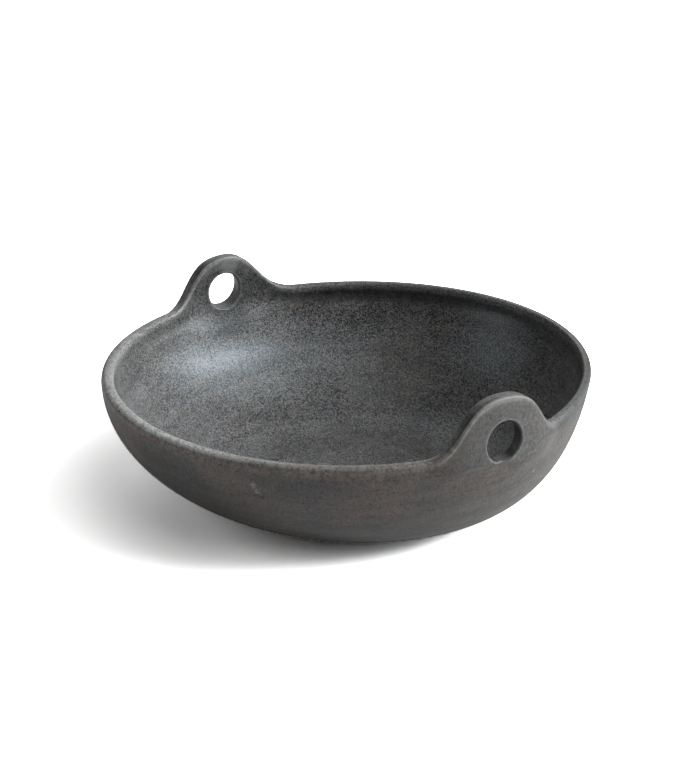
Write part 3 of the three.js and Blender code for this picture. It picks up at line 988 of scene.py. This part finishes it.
def bareClayMaterial():
    m = Recipe("bareClay")
    where = m.add("ShaderNodeTexCoord").outputs["Object"]
    sand = m.noise(where, 900, 3, 0.7)
    patch = m.noise(where, 60, 3, 0.5)
    tone = m.blend(m.step(patch, 0.35, 0.65), linear(112, 104, 96), linear(96, 88, 80))
    tone = m.blend(m.step(sand, 0.35, 0.6, 0.5, 0.0), tone, linear(62, 56, 52))
    bump = m.add("ShaderNodeBump", {"Height": sand, "Strength": 0.5, "Distance": 0.0003})
    shader = m.add("ShaderNodeBsdfPrincipled", {
        "Base Color": tone, "Roughness": 0.85, "Normal": bump.outputs["Normal"],
    })
    m.add("ShaderNodeOutputMaterial", {"Surface": shader.outputs[0]})
    return m.material


glazed = glazeMaterial()
clay = bareClayMaterial()
print("materials made")

noFaces = np.zeros((0, 3), int)
for code, lug in enumerate(lugs, 1):
    skin = np.concatenate([cells[owner == code], *holeFaces[code]])
    makePiece(lug["name"], skin, np.concatenate(closing[code]), noFaces, [lug["node"]], [glazed])

skin = cells[owner == 0]
bodyRows = np.repeat(np.arange(rowCount - 1)[:, None], columnCount, 1)[owner == 0]
fans = np.concatenate([
    np.stack([np.full(columnCount, poles[0]), nextColumn[0], number[0]], -1),
    np.stack([np.full(columnCount, poles[1]), number[-1], nextColumn[-1]], -1),
])
hidden = np.concatenate([*closing[1], *closing[2]])[:, ::-1]
firstBare, glazedAgain = grid["bareRows"]
bare = (bodyRows >= firstBare) & (bodyRows < glazedAgain)
bare = np.concatenate([bare, np.zeros(len(fans) + len(hidden), bool)])
makePiece("bodySkin", skin, hidden, fans, ["bowl_body"], [glazed, clay], bare.astype(np.int32))


# Studio

studio = {
    "floorSize": 8000.0,
    "floorWhite": linear(235, 235, 235),
    "floorSeen": 3.8,  # how bright the floor's colour is to the camera alone, so that it shows white
    "dome": 0.0,  # strength of the world's light on the object
    "domeSeen": 1.0,  # and to the camera
    # azimuth, elevation, strength, spread and colour of each lamp; 53 degrees is the camera's azimuth
    "lamps": {
        "window": (125, 28, 0.4, 40, (1.0, 1.0, 0.99)),
        "highWindow": (153, 48, 0.45, 30, (1.0, 1.0, 1.0)),
        "lowWindow": (152, 10, 0.95, 30, (1.0, 1.0, 1.0)),
        "paneLeft": (149, 27, 0.66, 16, (0.97, 1.0, 1.02)),
        "paneMiddle": (134, 29, 0.72, 16, (0.97, 1.0, 1.02)),
        "paneRight": (120, 36, 0.4, 16, (0.97, 1.0, 1.02)),
        "farWindow": (184, 28, 0.34, 42, (1.0, 1.0, 1.0)),
        "ceiling": (240, 36, 0.47, 50, (1.0, 1.0, 1.0)),
        "topLight": (147, 70, 0.25, 40, (1.0, 1.0, 1.0)),
        "rightHigh": (85, 52, 0.3, 40, (1.0, 1.0, 1.0)),
        "frontFill": (333, 28, 0.36, 40, (1.0, 1.0, 1.0)),
    },
}


def floorMaterial():
    m = Recipe("paleFloor")
    camera = m.add("ShaderNodeLightPath").outputs["Is Camera Ray"]
    level = studio["floorSeen"]
    matte = m.add("ShaderNodeBsdfDiffuse", {"Color": studio["floorWhite"]})
    seen = m.add("ShaderNodeBsdfDiffuse", {"Color": (level, level, level, 1)})
    either = m.add("ShaderNodeMixShader", {0: camera, 1: matte.outputs[0], 2: seen.outputs[0]})
    m.add("ShaderNodeOutputMaterial", {"Surface": either.outputs[0]})
    return m.material


def addFloor():
    half = studio["floorSize"] / 2000
    corners = [(-half, -half, 0), (half, -half, 0), (half, half, 0), (-half, half, 0)]
    mesh = bpy.data.meshes.new("floor")
    mesh.from_pydata(corners, [], [(0, 1, 2, 3)])
    mesh.materials.append(floorMaterial())
    floor = bpy.data.objects.new("floor", mesh)
    bpy.context.scene.collection.objects.link(floor)


def addDome():  # gives the object no light, but is pale to the camera, also through glass
    world = bpy.data.worlds.new("studioDome")
    bpy.context.scene.world = world
    world.use_nodes = True
    nodes, links = world.node_tree.nodes, world.node_tree.links
    nodes.clear()
    path = nodes.new("ShaderNodeLightPath")
    seen = nodes.new("ShaderNodeMath")
    seen.operation = "MAXIMUM"
    strength = nodes.new("ShaderNodeMapRange")
    strength.inputs["To Min"].default_value = studio["dome"]
    strength.inputs["To Max"].default_value = studio["domeSeen"]
    sky = nodes.new("ShaderNodeBackground")
    skyOut = nodes.new("ShaderNodeOutputWorld")
    links.new(path.outputs["Is Camera Ray"], seen.inputs[0])
    links.new(path.outputs["Is Transmission Ray"], seen.inputs[1])
    links.new(seen.outputs[0], strength.inputs["Value"])
    links.new(strength.outputs["Result"], sky.inputs["Strength"])
    links.new(sky.outputs[0], skyOut.inputs["Surface"])


def directionFrom(azimuth, elevation):  # unit vector towards a lamp or the camera
    a, e = math.radians(azimuth), math.radians(elevation)
    return Vector((math.sin(a) * math.cos(e), -math.cos(a) * math.cos(e), math.sin(e)))


def addSun(name, azimuth, elevation, strength, spread, colour):
    lamp = bpy.data.lights.new(name, "SUN")
    lamp.energy = strength
    lamp.color = colour
    lamp.angle = math.radians(spread)
    lampObject = bpy.data.objects.new(name, lamp)
    lampObject.rotation_mode = "QUATERNION"
    lampObject.rotation_quaternion = directionFrom(azimuth, elevation).to_track_quat("Z", "Y")
    bpy.context.scene.collection.objects.link(lampObject)


addFloor()
addDome()
for lampName, setting in studio["lamps"].items():
    addSun(lampName, *setting)


# Camera: where the photograph was taken from, found from the bowl's outlines

portrait = {
    "eye": (1308.2, -975.5, 745.7),
    "azimuth": 53.29,
    "elevation": 23.457,
    "roll": 1.5355,
    "frame": (700, 768),  # the photograph's width and height, in pixels
    "focal": 2895.9,  # in those pixels
    "centre": (349.41, 431.60),  # pixel that the fitted view's axis goes through
    "sensor": 36.0,
}


def portraitCamera():
    # The fitted view's axis misses the frame's middle, so the camera is turned until it looks there.
    back = directionFrom(portrait["azimuth"], portrait["elevation"])
    a = math.radians(portrait["azimuth"])
    level = Vector((math.cos(a), math.sin(a), 0))
    upright = back.cross(level)
    roll = math.radians(portrait["roll"])
    right = level * math.cos(roll) + upright * math.sin(roll)
    up = upright * math.cos(roll) - level * math.sin(roll)
    focal = portrait["focal"]
    width, height = portrait["frame"]
    acrossView = (width / 2 - portrait["centre"][0]) / focal
    upView = (portrait["centre"][1] - height / 2) / focal
    back = (back - right * acrossView - up * upView).normalized()
    right = (right - back * right.dot(back)).normalized()
    up = back.cross(right)
    data = bpy.data.cameras.new("portraitCamera")
    data.sensor_fit = "AUTO"
    data.sensor_width = portrait["sensor"]
    data.lens = focal * portrait["sensor"] / height
    data.clip_start = 0.05
    data.clip_end = 50
    camera = bpy.data.objects.new("portraitCamera", data)
    eye = (Vector(portrait["eye"]) + Vector(mouthCentre)) * 0.001
    turn = Matrix((right, up, back)).transposed().to_4x4()
    camera.matrix_world = Matrix.Translation(eye) @ turn
    bpy.context.scene.collection.objects.link(camera)
    bpy.context.scene.camera = camera


portraitCamera()
bpy.context.scene.view_settings.view_transform = "Standard"
print("studio and camera ready")
